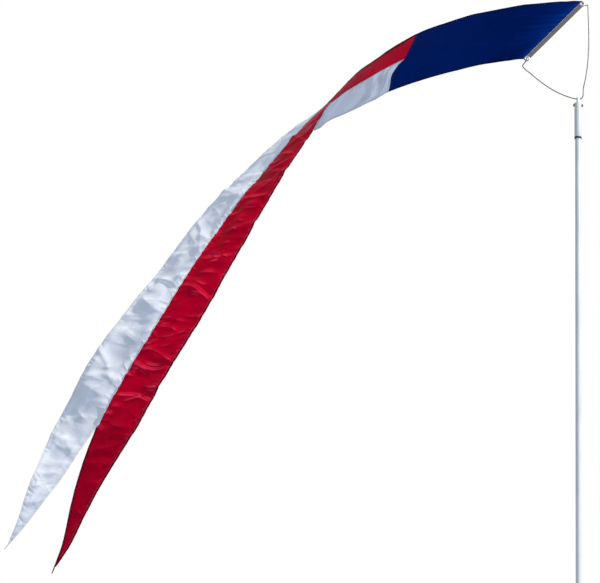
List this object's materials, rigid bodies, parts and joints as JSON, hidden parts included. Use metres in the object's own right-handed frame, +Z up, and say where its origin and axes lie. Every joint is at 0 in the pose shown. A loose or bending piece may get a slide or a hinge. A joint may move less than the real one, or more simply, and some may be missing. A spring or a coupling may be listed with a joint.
{
  "type": "streamer windsock with pole",
  "caption": "Swallow-tail wind streamer on a two-section pole, its heading held by a spring-wire bow on a swivelling head sleeve.",
  "frame": {"origin": "centre of the flat foot of the cap under the pole", "axes": "+Z up along the pole; the wire bow lies in the XZ plane and the streamer flies towards -X"},
  "size_m": [1.7743, 0.2617, 4.0642],
  "materials": {
    "white_enamel": "satin",
    "mill_aluminium": "satin",
    "bright_steel": "satin",
    "dull_steel": "satin",
    "spring_wire": "satin",
    "white_nylon_moulding": "matte",
    "black_rubber": "matte",
    "grey_webbing": "matte",
    "nickelled_brass": "polished",
    "navy_nylon": "satin",
    "red_nylon": "satin",
    "white_nylon": "satin"
  },
  "bodies": {
    "pole": {"butt_cap": "black_rubber", "lower_pole_tube": "white_enamel", "joint_ferrule": "mill_aluminium", "ferrule_rivet_left": "bright_steel", "ferrule_rivet_right": "bright_steel", "button_spring": "bright_steel", "upper_pole_tube": "white_enamel", "pole_top_plug": "white_nylon_moulding", "thrust_washer": "bright_steel", "stop_ring": "black_rubber"},
    "button": {"snap_button": "bright_steel"},
    "head": {"head_sleeve": "white_enamel", "wire_stem": "white_nylon_moulding", "cross_bolt": "dull_steel", "cross_nut": "dull_steel", "bow_wire": "spring_wire"},
    "streamer": {"heading_tape": "grey_webbing", "upper_grommet_eyelet": "nickelled_brass", "upper_grommet_washer": "nickelled_brass", "lower_grommet_eyelet": "nickelled_brass", "lower_grommet_washer": "nickelled_brass", "blue_panel": "navy_nylon", "red_stripe": "red_nylon", "white_stripe": "white_nylon"}
  },
  "joints": [
    {"name": "head_swivel", "type": "hinge", "parent": "pole", "child": "head", "pos_m": [0, 0, 3.6672], "axis": [0, 0, 1], "continuous": true},
    {"name": "heading_swing", "type": "hinge", "parent": "head", "child": "streamer", "pos_m": [-0.0775, 0, 3.9437], "axis": [0.6534, 0, 0.757], "range_deg": [-30, 30]},
    {"name": "button_press", "type": "slide", "parent": "pole", "child": "button", "axis": [0, 1, 0], "range_m": [0, 0.003], "stiffness_N_per_m": 1500, "springref_m": -0.001, "deforming": ["button_spring"]}
  ]
}
